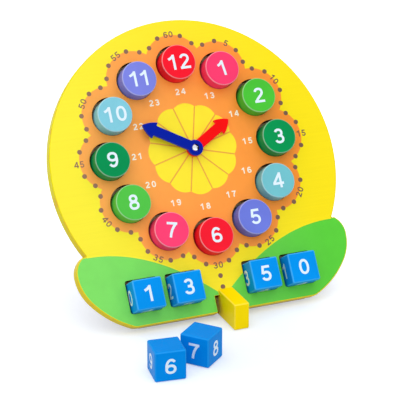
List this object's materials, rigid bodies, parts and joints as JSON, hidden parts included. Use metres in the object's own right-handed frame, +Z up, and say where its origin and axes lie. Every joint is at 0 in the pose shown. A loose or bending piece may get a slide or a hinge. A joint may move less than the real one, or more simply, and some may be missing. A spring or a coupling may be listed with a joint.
{
  "type": "wooden teaching clock",
  "caption": "Round dial board on two leaf-shaped legs, leaning back on a cross-lapped foot, with loose hour discs, loose number cubes and two hand-turned hands.",
  "frame": {"origin": "on the table under the foot, straight below the bolt where its axis meets the board's front face", "axes": "+X to the right of somebody who reads the dial, +Y away from that reader, +Z up"},
  "size_m": [0.3014, 0.2761, 0.2595],
  "materials": {
    "board_yellow": "printed and lacquered, semi-gloss",
    "panel_ply": "bare birch plywood, matt",
    "foot_yellow": "painted, semi-gloss",
    "disc_red": "painted, gloss",
    "disc_pink": "painted, gloss",
    "disc_green": "painted, gloss",
    "disc_dark_green": "painted, gloss",
    "disc_turquoise": "painted, gloss",
    "disc_periwinkle": "painted, gloss",
    "cube_blue": "painted, semi-gloss",
    "hand_red": "painted, gloss",
    "hand_blue": "painted, gloss",
    "bolt_chrome": "polished plating"
  },
  "bodies": {
    "stand": {"front_board": "board_yellow", "back_panel": "panel_ply", "foot": "foot_yellow", "pivot_bolt": "bolt_chrome", "pivot_nut": "bolt_chrome", "back_washer": "bolt_chrome", "board_washer": "bolt_chrome", "hand_washer": "bolt_chrome"},
    "hour_hand": {"hour_hand": "hand_red"},
    "minute_hand": {"minute_hand": "hand_blue"},
    "disc_1": {"hour_disc_1": "disc_pink"},
    "disc_2": {"hour_disc_2": "disc_green"},
    "disc_3": {"hour_disc_3": "disc_dark_green"},
    "disc_4": {"hour_disc_4": "disc_turquoise"},
    "disc_5": {"hour_disc_5": "disc_periwinkle"},
    "disc_6": {"hour_disc_6": "disc_red"},
    "disc_7": {"hour_disc_7": "disc_pink"},
    "disc_8": {"hour_disc_8": "disc_green"},
    "disc_9": {"hour_disc_9": "disc_dark_green"},
    "disc_10": {"hour_disc_10": "disc_turquoise"},
    "disc_11": {"hour_disc_11": "disc_periwinkle"},
    "disc_12": {"hour_disc_12": "disc_red"},
    "cube_hour_tens": {"cube_hour_tens": "cube_blue"},
    "cube_hour_units": {"cube_hour_units": "cube_blue"},
    "cube_minute_tens": {"cube_minute_tens": "cube_blue"},
    "cube_minute_units": {"cube_minute_units": "cube_blue"},
    "cube_spare_left": {"cube_spare_left": "cube_blue"},
    "cube_spare_right": {"cube_spare_right": "cube_blue"}
  },
  "joints": [
    {"name": "hour_hand_turn", "type": "hinge", "parent": "stand", "child": "hour_hand", "pos_m": [0, 0, 0.14643], "axis": [0, -0.8387, 0.5446], "continuous": true},
    {"name": "minute_hand_turn", "type": "hinge", "parent": "stand", "child": "minute_hand", "pos_m": [0, 0, 0.14643], "axis": [0, -0.8387, 0.5446], "continuous": true},
    {"name": "disc_1_lift", "type": "slide", "parent": "stand", "child": "disc_1", "axis": [0, -0.8387, 0.5446], "range_m": [0, 0.03]},
    {"name": "disc_2_lift", "type": "slide", "parent": "stand", "child": "disc_2", "axis": [0, -0.8387, 0.5446], "range_m": [0, 0.03]},
    {"name": "disc_3_lift", "type": "slide", "parent": "stand", "child": "disc_3", "axis": [0, -0.8387, 0.5446], "range_m": [0, 0.03]},
    {"name": "disc_4_lift", "type": "slide", "parent": "stand", "child": "disc_4", "axis": [0, -0.8387, 0.5446], "range_m": [0, 0.03]},
    {"name": "disc_5_lift", "type": "slide", "parent": "stand", "child": "disc_5", "axis": [0, -0.8387, 0.5446], "range_m": [0, 0.03]},
    {"name": "disc_6_lift", "type": "slide", "parent": "stand", "child": "disc_6", "axis": [0, -0.8387, 0.5446], "range_m": [0, 0.03]},
    {"name": "disc_7_lift", "type": "slide", "parent": "stand", "child": "disc_7", "axis": [0, -0.8387, 0.5446], "range_m": [0, 0.03]},
    {"name": "disc_8_lift", "type": "slide", "parent": "stand", "child": "disc_8", "axis": [0, -0.8387, 0.5446], "range_m": [0, 0.03]},
    {"name": "disc_9_lift", "type": "slide", "parent": "stand", "child": "disc_9", "axis": [0, -0.8387, 0.5446], "range_m": [0, 0.03]},
    {"name": "disc_10_lift", "type": "slide", "parent": "stand", "child": "disc_10", "axis": [0, -0.8387, 0.5446], "range_m": [0, 0.03]},
    {"name": "disc_11_lift", "type": "slide", "parent": "stand", "child": "disc_11", "axis": [0, -0.8387, 0.5446], "range_m": [0, 0.03]},
    {"name": "disc_12_lift", "type": "slide", "parent": "stand", "child": "disc_12", "axis": [0, -0.8387, 0.5446], "range_m": [0, 0.03]},
    {"name": "cube_hour_tens_lift", "type": "slide", "parent": "stand", "child": "cube_hour_tens", "axis": [0, -0.8387, 0.5446], "range_m": [0, 0.035]},
    {"name": "cube_hour_units_lift", "type": "slide", "parent": "stand", "child": "cube_hour_units", "axis": [0, -0.8387, 0.5446], "range_m": [0, 0.035]},
    {"name": "cube_minute_tens_lift", "type": "slide", "parent": "stand", "child": "cube_minute_tens", "axis": [0, -0.8387, 0.5446], "range_m": [0, 0.035]},
    {"name": "cube_minute_units_lift", "type": "slide", "parent": "stand", "child": "cube_minute_units", "axis": [0, -0.8387, 0.5446], "range_m": [0, 0.035]},
    {"name": "cube_spare_left_lift", "type": "slide", "parent": "stand", "child": "cube_spare_left", "axis": [0, 0, 1], "range_m": [0, 0.05]},
    {"name": "cube_spare_right_lift", "type": "slide", "parent": "stand", "child": "cube_spare_right", "axis": [0, 0, 1], "range_m": [0, 0.05]}
  ]
}
